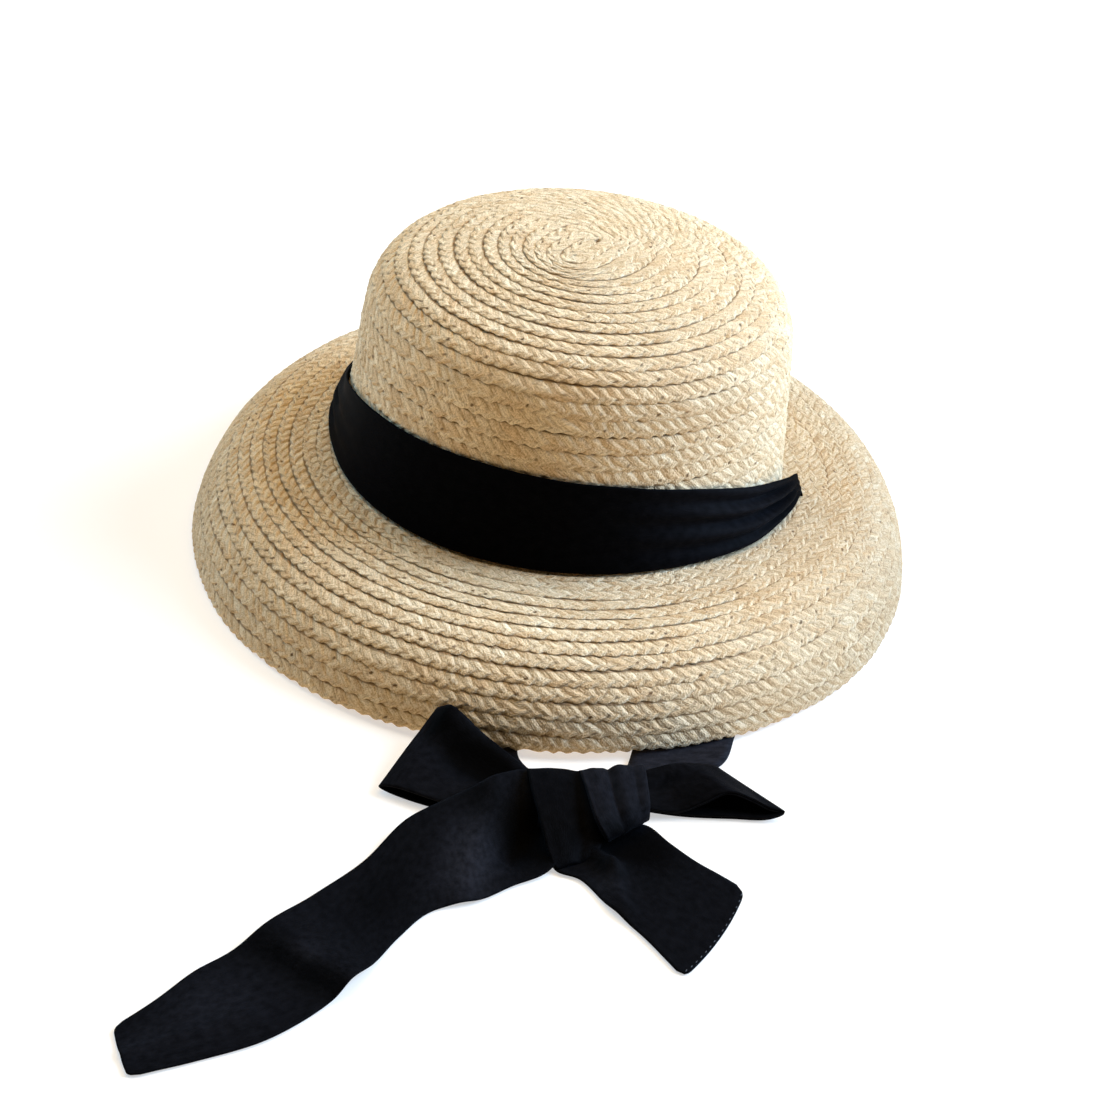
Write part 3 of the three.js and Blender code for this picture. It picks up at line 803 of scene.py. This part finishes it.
def plait(along, across, seed):
    """Relief from 0 to 1, strands' tone, gaps, distance off a gap, pits, edge and strands' phases."""
    rng = np.random.default_rng(seed)
    count = int(along.max() / PLAIT_PERIOD) + 12
    shift = 0.24 * noise(along, 13, seed + 1) + 0.12 * noise(along, 5, seed + 2)
    slant = PLAIT_SLANT * (1 + 0.3 * noise(along, 19, seed + 7))
    off = across - PLAIT_MIDDLE - 0.5 * noise(along, 7, seed + 8)
    upper = (along - slant * off) / PLAIT_PERIOD + shift + 3
    lower = (along + slant * off) / PLAIT_PERIOD + shift + 3.5
    upper_strand = np.floor(upper).astype(int)
    lower_strand = np.floor(lower).astype(int)
    gains = rng.uniform(0.45, 1.0, (2, count))
    tones = np.clip(rng.normal(0.5, 0.26, (2, count)), 0, 1)
    upper_height = hump(upper) * (1 - smooth(-0.5, 1.1, off)) * gains[0][upper_strand]
    lower_height = hump(lower) * smooth(-1.1, 0.5, off) * gains[1][lower_strand]
    relief = np.maximum(upper_height, lower_height)
    tone = np.where(upper_height > lower_height, tones[0][upper_strand], tones[1][lower_strand])
    crossing = np.round(lower).astype(int)
    gap = np.clip(rng.uniform(-1.3, 1.0, count), 0, 1)[crossing]
    from_pit = off - rng.uniform(-PIT_SPREAD, 0.5 * PIT_SPREAD, count)[crossing]
    away = np.hypot((lower - crossing) * PLAIT_PERIOD - 0.5 * from_pit, from_pit)
    pit = gap * np.exp(-((away / PIT_RADIUS) ** 2))
    phases = np.stack((upper, lower, off), axis=-1)
    return relief, tone, gap, from_pit, pit, hump(lower), phases


def lens(across):
    """The braid's cross-section, from 1 at its middle to thin edges."""
    return np.sqrt(1 - (np.abs(across) / (BRAID_HALF + 0.15)) ** 8)


def braid_rings(line, path, place_on, seed):
    """Cross-sections of a braid at even steps along its way, with the numbers that its material reads."""
    middle = place_on(line, *path[:2], np.zeros_like(path[0]))
    length = np.concatenate(([0], np.cumsum(np.linalg.norm(np.diff(middle, axis=0), axis=1))))
    along = np.arange(0, length[-1], BRAID_STEP)
    columns = (np.interp(along, length, value)[:, None] for value in path)
    azimuth, place, pitch, sink, tilt, painted_shade = columns
    along = along[:, None]
    top = np.array(BRAID_TOP)[None, :]
    bottom = np.array(BRAID_BOTTOM)[None, :]
    wander = 0.28 * noise(along, 37, seed + 3) + 0.3 * noise(along, 10, seed + 4)
    lift = BRAID_LEVEL - sink + 0.12 * noise(along, 23, seed + 5)
    depth = PLAIT_DEPTH * (0.75 + 0.3 * noise(along, 29, seed + 6))
    relief, tone, gap, from_pit, pit, edge, phases = plait(along, top, seed)
    rough = np.random.default_rng(seed + 9).normal(0, ROUGHNESS, relief.shape)
    across = top - SCALLOP * (1 - edge) * smooth(1.6, BRAID_HALF, top)
    over = lift + tilt * top + BRAID_THICK * lens(top) + depth * (relief - 0.6) + rough
    swell = (0.6 - ((top - ROW_MIDDLE) / (BRAID_HALF - ROW_MIDDLE)) ** 2).clip(-0.5)
    over = over + ROW_CROWN * smooth(0.0, 0.075, tilt) * swell
    over = over - PIT_DEPTH * pit - BRAID_TUCK * (1 - smooth(-BRAID_HALF, -2.0, top))
    under = lift + tilt * bottom - BRAID_THICK * lens(bottom)
    upper = place_on(line, azimuth, place + across + wander, over)
    lower = place_on(line, azimuth, place + bottom + wander, under)
    rings = np.concatenate((upper, lower), axis=1)
    flat = np.ones((len(along), bottom.shape[1]))
    tone = np.concatenate((tone, 0.4 * flat), axis=1)
    gap = np.concatenate((gap, 0 * flat), axis=1)
    from_pit = np.concatenate((from_pit, flat), axis=1)
    # Distance below the previous row's edge, for the painted shadow line under that edge.
    from_edge = top + pitch - BRAID_HALF + SEAM_SHADOW_FAINT * smooth(*SEAM_SHADOW_TILTS, tilt)
    from_edge = from_edge + SEAM_SHADOW_FAINT * smooth(0.04, 0.02, tilt) + 3 * smooth(0.012, 0, tilt)
    seam_shadow = np.concatenate((from_edge, BRAID_HALF * flat), axis=1)
    one_way = (along - bottom) / PLAIT_PERIOD
    other_way = (along + bottom) / PLAIT_PERIOD
    beneath = np.stack((one_way, other_way, bottom + 0 * along), axis=-1)
    phases = np.concatenate((phases, beneath), axis=1)
    painted_shade = np.broadcast_to(painted_shade, seam_shadow.shape)
    numbers = {"tone": tone, "gap": gap, "from_pit": from_pit, "seam_shadow": seam_shadow, "painted_shade": painted_shade}
    return rings, numbers, phases


def make_braid(name, node, line, path, place_on, parts, material, seed):
    """A sewn braid in several lengths that meet end to end and stand for one CAD node."""
    rings, numbers, phases = braid_rings(line, path, place_on, seed)
    cuts = np.linspace(0, len(rings) - 1, parts + 1).astype(int)
    for part, (first, last) in enumerate(zip(cuts, cuts[1:]), start=1):
        length = slice(first, last + 1)
        piece = closed_loft(f"{name}_{part}", rings[length])
        for key, values in numbers.items():
            add_numbers(piece, key, values[length])
        add_vectors(piece, "plait", phases[length])
        piece.data.materials.append(material)
        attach(piece, "root")
        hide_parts(node)


# Ribbon


def smooth_edge(points, steps):
    """A centripetal Catmull-Rom curve through points, at equal steps from point to point."""
    points = np.asarray(points, float)
    ends = (2 * points[0] - points[1], 2 * points[-1] - points[-2])
    held = np.vstack((ends[0], points, ends[1]))
    share = np.linspace(0, len(points) - 1, steps + 1)
    cell = np.minimum(share.astype(int), len(points) - 2)
    gaps = np.maximum(np.sqrt(np.linalg.norm(np.diff(held, axis=0), axis=1)), 1e-4)
    p0, p1, p2, p3 = (held[cell + k] for k in range(4))
    d0, d1, d2 = (gaps[cell + k][:, None] for k in range(3))
    m1 = (p1 - p0) / d0 - (p2 - p0) / (d0 + d1) + (p2 - p1) / d1
    m2 = (p2 - p1) / d1 - (p3 - p1) / (d1 + d2) + (p3 - p2) / d2
    t = (share - cell)[:, None]
    m1, m2 = m1 * d1, m2 * d1
    return (
        (2 * t**3 - 3 * t**2 + 1) * p1 + (t**3 - 2 * t**2 + t) * m1
        + (-2 * t**3 + 3 * t**2) * p2 + (t**3 - t**2) * m2
    )


def normals_of(grid):
    ahead = np.gradient(grid, axis=0)
    over = np.gradient(grid, axis=1)
    normal = np.cross(ahead, over)
    return normal / np.maximum(np.linalg.norm(normal, axis=-1, keepdims=True), 1e-9)


def outward_normals(grid):
    """Normals that point away from the hat's axis at the middle of a grid."""
    normal = normals_of(grid)
    middle = tuple(size // 2 for size in grid.shape[:2])
    return normal * np.sign(normal[middle] @ (grid[middle] * (1, 1, 0)))


def sides_of(grid):
    """The mean length and the mean width of a grid."""
    length = np.linalg.norm(np.diff(grid, axis=0), axis=-1).sum(axis=0).mean()
    width = np.linalg.norm(np.diff(grid, axis=1), axis=-1).sum(axis=1).mean()
    return length, width


def places_on(grid):
    """Places along and across a grid, spread evenly over its mean sides."""
    length, width = sides_of(grid)
    along = np.linspace(0, length, grid.shape[0])[:, None]
    across = np.linspace(0, width, grid.shape[1])[None, :]
    return along, across


def between(one, two, across):
    """A grid of points between two edges."""
    share = np.linspace(0, 1, across + 1)[None, :, None]
    return one[:, None] * (1 - share) + two[:, None] * share


def creased(grid, folds):
    """Cloth with soft folds up or down, each along a line between two places in shares of its sides."""
    along, across = places_on(grid)
    length, width = sides_of(grid)
    rise = np.zeros(grid.shape[:2])
    for start_along, start_across, end_along, end_across, height, spread in folds:
        run_along = (end_along - start_along) * length
        run_across = (end_across - start_across) * width
        from_along = along - start_along * length
        from_across = across - start_across * width
        share = (from_along * run_along + from_across * run_across) / (run_along**2 + run_across**2)
        share = np.clip(share, 0, 1)
        away = np.hypot(from_along - share * run_along, from_across - share * run_across)
        rise += height * np.exp(-((away / spread) ** 2))
    return grid + rise[..., None] * np.array((0, 0, 1))


def rumpled(grid, seed):
    """Cloth with a slight unevenness all over."""
    along, across = places_on(grid)
    waves = noise(along + 0.7 * across, 14, seed) + noise(along - 0.9 * across, 19, seed + 1)
    return grid + RUMPLE * waves[..., None] * normals_of(grid)


def doubled(grid):
    """A ribbon folded in half along its length: over the grid to its last edge, round and back below."""
    normal = normals_of(grid) * LAYER_GAP
    outward = grid[:, -1:] - grid[:, -2:-1]
    fold = grid[:, -1:] + outward / np.linalg.norm(outward, axis=-1, keepdims=True) * LAYER_GAP
    return np.concatenate((grid + normal, fold, (grid - normal)[:, ::-1]), axis=1)


def rounded_end(grid, bulge):
    """A ribbon's free end with round corners, its middle standing out a little."""
    along, across = places_on(grid)
    width = across[0, -1]
    from_side = np.minimum(across, width - across)
    corner = np.clip(1 - from_side / CORNER_RADIUS, 0, 1)
    back = CORNER_RADIUS * (1 - np.sqrt(1 - corner**2)) - bulge * 4 * across * (width - across) / width**2
    near_end = smooth(along[-1, 0] - 5 * CORNER_RADIUS, along[-1, 0], along)
    ahead = grid[-1] - grid[-3]
    ahead = ahead / np.linalg.norm(ahead, axis=-1, keepdims=True)
    return grid - (near_end * back)[..., None] * ahead[None]


def painted_light_and_shade(name, grid):
    """How pale a piece of cloth is painted at each point, as painted light and shade: an even tone with
    soft patches.
    """
    tone, patches = CLOTH_PAINTED_LIGHT_AND_SHADE[name]
    along, across = places_on(grid)
    length, width = sides_of(grid)
    tones = np.full(grid.shape[:2], tone)
    for place_along, place_across, change, spread in patches:
        away = np.hypot(along - place_along * length, across - place_across * width)
        tones += change * np.exp(-((away / spread) ** 2))
    return np.maximum(tones, 0.08)


def make_sheet(name, grid, material):
    """A closed sheet of cloth of even thickness over a grid of points."""
    normal = normals_of(grid)
    top = grid + normal * CLOTH_THICK / 2
    bottom = grid - normal * CLOTH_THICK / 2
    piece = closed_loft(name, np.concatenate((top, bottom[:, ::-1]), axis=1))
    along, across = places_on(grid)
    cloth = np.stack(np.broadcast_arrays(across, along, 0.0), axis=-1)
    add_vectors(piece, "cloth", np.concatenate((cloth, cloth[:, ::-1]), axis=1))
    # Painted light and shade of the cloth, as the tone number.
    tones = painted_light_and_shade(name, grid)
    add_numbers(piece, "tone", np.concatenate((tones, tones[:, ::-1]), axis=1))
    piece.data.materials.append(material)
    return piece


def cloth_piece(name, node, grid, material):
    """A stretch of the ribbon as a sheet that stands for a CAD node."""
    piece = make_sheet(name, grid, material)
    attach(piece, "root")
    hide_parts(node)


def on_crown(azimuth, above, off, base_height):
    """A point on the crown's side, at a height above its base, standing off by a distance."""
    radius = HEAD_RADIUS - above * math.tan(math.radians(SIDE_TAPER))
    return make_oval(polar(azimuth, radius, base_height + above)) + polar(azimuth, off, 0.0)


def make_band(base_height, material):
    """The ribbon across the front of the crown, drawn together into folds towards the slits."""
    half = BAND_SECTIONS
    whole = [(-s[0], *s[1:]) for s in half[:0:-1]] + half
    low = smooth_edge([on_crown(s[0], s[1], s[3], base_height) for s in whole], 200)
    high = smooth_edge([on_crown(s[0], s[2], s[4], base_height) for s in whole], 200)
    grid = rumpled(between(high, low, 40), SEED + 20)
    share = np.linspace(0, 1, grid.shape[1])[None, :]
    azimuth = np.degrees(np.arctan2(grid[..., 0], -grid[..., 1]))
    depth = np.interp(azimuth, *zip(*BAND_GATHERS))
    depth = np.maximum(depth, BAND_SLIT_DEPTH * smooth(-4, -9, grid[..., 2] - base_height))
    drift = 0.05 * np.sin(np.radians(3 * azimuth))
    folds = -depth * np.cos(2 * math.pi * (share + drift - BAND_FIRST_FOLD) / BAND_FOLD)
    folds = folds * np.sqrt(np.sin(math.pi * share))
    grid = grid + folds[..., None] * outward_normals(grid)
    cloth_piece("band_cloth", "hat_band", grid, material)


def tie_grid(table, steps, across, in_polar=False):
    """A grid between the two edges of a piece of the tie."""

    def point(row):
        return polar(*row) if in_polar else np.array(row, float)

    one = smooth_edge([point(row[0]) for row in table], steps)
    two = smooth_edge([point(row[1]) for row in table], steps)
    return turned(between(one, two, across), TIE_TURN)


def make_strands(material):
    """The ribbon from the slits to the bow, folded in half, under the brim."""
    for side, table, steps in (("left", STRAND_LEFT, 140), ("right", STRAND_RIGHT, 110)):
        grid = doubled(tie_grid(table, steps, 12, in_polar=True))
        cloth_piece(f"strand_{side}_cloth", f"tie_strand_{side}", grid, material)


def make_loops(material):
    left = rumpled(creased(tie_grid(LOOP_LEFT, 140, 32), LOOP_LEFT_FOLDS), SEED + 22)
    cloth_piece("loop_left_cloth", "bow_loop_left", left, material)
    right = rumpled(creased(tie_grid(LOOP_RIGHT, 140, 18), LOOP_RIGHT_FOLDS), SEED + 24)
    cloth_piece("loop_right_cloth", "bow_loop_right", doubled(right), material)


def make_stitches(grid, material):
    """Short stitches in a row along the hem of a ribbon's end."""
    along, _ = places_on(grid)
    hem = grid[np.searchsorted(along[:, 0], along[-1, 0] - HEM_INSET)]
    share = np.linspace(0, 1, len(hem))
    place = np.linspace(0.06, 0.94, HEM_STITCHES)
    middle = np.stack([np.interp(place, share, hem[:, k]) for k in range(3)], axis=-1)
    run = hem[-1] - hem[0]
    run = run / np.linalg.norm(run)
    side = np.cross((0, 0, 1), run)
    up = np.array((0, 0, 1))
    reach = np.array((-0.5, -0.42, 0.0, 0.42, 0.5))[:, None, None] * STITCH_LENGTH
    size = np.array((0.3, 0.85, 1.0, 0.85, 0.3))[:, None, None] * STITCH_RADIUS
    turn = np.arange(6)[None, :, None] / 6 * 2 * math.pi
    tube = reach * run + size * (np.cos(turn) * side + np.sin(turn) * up) + up * CLOTH_THICK / 2
    piece = closed_loft("tail_right_stitches", middle[:, None, None] + tube[None])
    piece.data.materials.append(material)
    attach(piece, "root")
    return piece


def make_tails(material, thread):
    left = rumpled(creased(tie_grid(TAIL_LEFT, 220, 32), TAIL_LEFT_FOLDS), SEED + 26)
    cloth_piece("tail_left_cloth", "ribbon_tail_left", rounded_end(left, 0.6), material)
    right = rumpled(creased(tie_grid(TAIL_RIGHT, 100, 32), TAIL_RIGHT_FOLDS), SEED + 28)
    right = rounded_end(right, 2.6)
    stitches = make_stitches(right, thread)
    cloth_piece("tail_right_cloth", "ribbon_tail_right", right, material)


def make_knot(material):
    """The knot: a bundle of cloth with one folded length drawn down over it and a pleated one round it."""
    make_knot_core(material)
    for name, table, folds, seed in (
        ("knot_wrap_cloth", KNOT_WRAP, KNOT_WRAP_FOLDS, SEED + 30),
        ("knot_band_cloth", KNOT_BAND, KNOT_BAND_FOLDS, SEED + 32),
    ):
        grid = rumpled(creased(tie_grid(table, 80, 28), folds), seed)
        cloth_piece(name, "bow_knot", doubled(grid), material)


def make_knot_core(material):
    sections = np.array(KNOT_SECTIONS, float)
    x = np.linspace(sections[0, 0], sections[-1, 0], 60)
    held = smooth_edge(sections[:, :3], 200)
    tall = smooth_edge(np.column_stack((sections[:, 0], sections[:, 3], 0 * sections[:, 0])), 200)
    back = np.interp(x, held[:, 0], held[:, 1])[:, None]
    front = np.interp(x, held[:, 0], held[:, 2])[:, None]
    height = np.interp(x, tall[:, 0], tall[:, 1])[:, None]
    turn = (np.arange(64) + 0.5) / 64 * 2 * math.pi

    def rounded(value):
        return np.sign(value) * np.abs(value) ** KNOT_POWER

    y = (back + front) / 2 + (back - front) / 2 * rounded(np.cos(turn))
    z = KNOT_FLOOR + height / 2 * (1 + rounded(np.sin(turn)))
    rings = np.stack(np.broadcast_arrays(x[:, None], y, z), axis=-1)
    piece = closed_loft("knot_core_cloth", turned(rings, TIE_TURN))
    cloth = np.stack(np.broadcast_arrays(x[:, None], turn[None, :] * 18, 3.0), axis=-1)
    add_vectors(piece, "cloth", cloth)
    # Painted shade on the knot's core.
    add_numbers(piece, "tone", np.full(rings.shape[:2], CORE_PAINTED_SHADE))
    piece.data.materials.append(material)
    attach(piece, "root")
    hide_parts("bow_knot")


# Stage


def make_floor():
    bpy.ops.mesh.primitive_plane_add(size=12, location=(0, 0, 0))
    floor = bpy.context.object
    floor.name = "floor"
    floor.data.materials.append(make_floor_material())
    floor.visible_diffuse = False
    floor.visible_shadow = False


def view_axes():
    """The camera's right, up and forward directions."""
    turn = Matrix.Rotation(math.radians(CAMERA_TURN), 3, "Z")
    lift = math.radians(CAMERA_ELEVATION)
    roll = math.radians(CAMERA_ROLL)
    level = Vector((1, 0, 0))
    upright = Vector((0, math.sin(lift), math.cos(lift)))
    forward = turn @ Vector((0, math.cos(lift), -math.sin(lift)))
    right = turn @ (level * math.cos(roll) - upright * math.sin(roll))
    up = turn @ (level * math.sin(roll) + upright * math.cos(roll))
    aim = turn @ (level * CAMERA_AIM[0] + upright * CAMERA_AIM[1])
    return right, up, forward, aim


def make_camera():
    right, up, forward, aim = view_axes()
    data = bpy.data.cameras.new("camera")
    data.sensor_width = SENSOR
    data.lens = SENSOR * CAMERA_FOCUS
    camera = bpy.data.objects.new("camera", data)
    bpy.context.scene.collection.objects.link(camera)
    eye = (aim - forward * CAMERA_DISTANCE) * MM
    axes = Matrix((right, up, -forward)).transposed()
    camera.matrix_world = Matrix.Translation(eye) @ axes.to_4x4()
    bpy.context.scene.camera = camera


def add_area_light(name, place, size, power, colour):
    data = bpy.data.lights.new(name, "AREA")
    data.shape = "DISK"
    data.size = size
    data.energy = power
    data.color = colour
    light = bpy.data.objects.new(name, data)
    light.location = place
    light.rotation_euler = (Vector((0, 0, 0.05)) - Vector(place)).to_track_quat("-Z", "Y").to_euler()
    bpy.context.scene.collection.objects.link(light)


def make_light():
    for light in LIGHTS:
        add_area_light(*light)
    make_world()
    bpy.context.scene.view_settings.view_transform = "Standard"


def make_world():
    """Soft light that comes back up from the table all round, and little from above."""
    world = bpy.data.worlds.new("studio")
    bpy.context.scene.world = world
    world.use_nodes = True
    tree = world.node_tree
    background = tree.nodes["Background"]
    background.inputs["Color"].default_value = (1.0, 0.78, 0.5, 1)
    direction = add_node(tree, "ShaderNodeTexCoord").outputs["Generated"]
    parts = add_node(tree, "ShaderNodeSeparateXYZ")
    tree.links.new(direction, parts.inputs[0])
    strength = ranged(tree, parts.outputs[2], -0.05, 0.05, TABLE_LIGHT, SKY_LIGHT)
    tree.links.new(strength, background.inputs["Strength"])


def build():
    base_height = height_of_base()
    straw = make_straw()
    cloth = make_cloth()
    make_camera()
    crown = crown_meridian(base_height)
    brim = brim_meridian(base_height)
    make_braid("crown_braid", "crown", crown, crown_path(crown), place_on_crown, 3, straw, SEED)
    make_braid("brim_braid", "brim", brim, brim_path(brim), place_on_brim, 3, straw, SEED + 50)
    make_band(base_height, cloth)
    make_strands(cloth)
    make_loops(cloth)
    make_tails(cloth, make_thread())
    make_knot(cloth)
    make_floor()
    make_light()


build()
